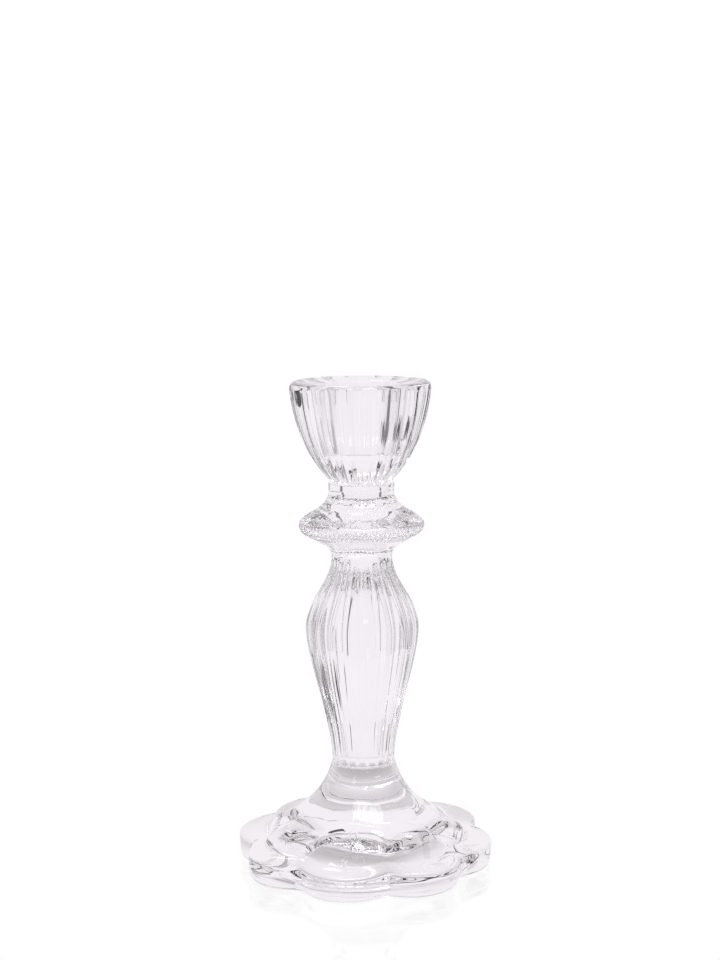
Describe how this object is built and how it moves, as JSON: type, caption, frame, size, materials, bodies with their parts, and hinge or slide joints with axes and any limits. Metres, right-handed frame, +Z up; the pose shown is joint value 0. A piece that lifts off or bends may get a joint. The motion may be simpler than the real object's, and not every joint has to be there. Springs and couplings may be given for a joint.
{
  "type": "glass candlestick",
  "caption": "Clear pressed-glass candlestick with a fluted cup, a drip collar, a fluted baluster stem and a lobed foot, holding one standard taper candle.",
  "frame": {"origin": "centre of the foot's rest ring, on the surface that the candlestick stands on", "axes": "+Z up along the candlestick's axis; +X and +Y through the middles of two foot lobes, where two of the four mould lines are"},
  "size_m": [0.091, 0.091, 0.1709],
  "materials": {
    "clear_glass": "clear and smooth, fire polished, with faint mould lines"
  },
  "bodies": {
    "root": {"scalloped_foot": "clear_glass", "foot_wafer": "clear_glass", "fluted_stem": "clear_glass", "drip_collar": "clear_glass", "neck_wafer": "clear_glass", "candle_cup": "clear_glass"}
  },
  "joints": []
}
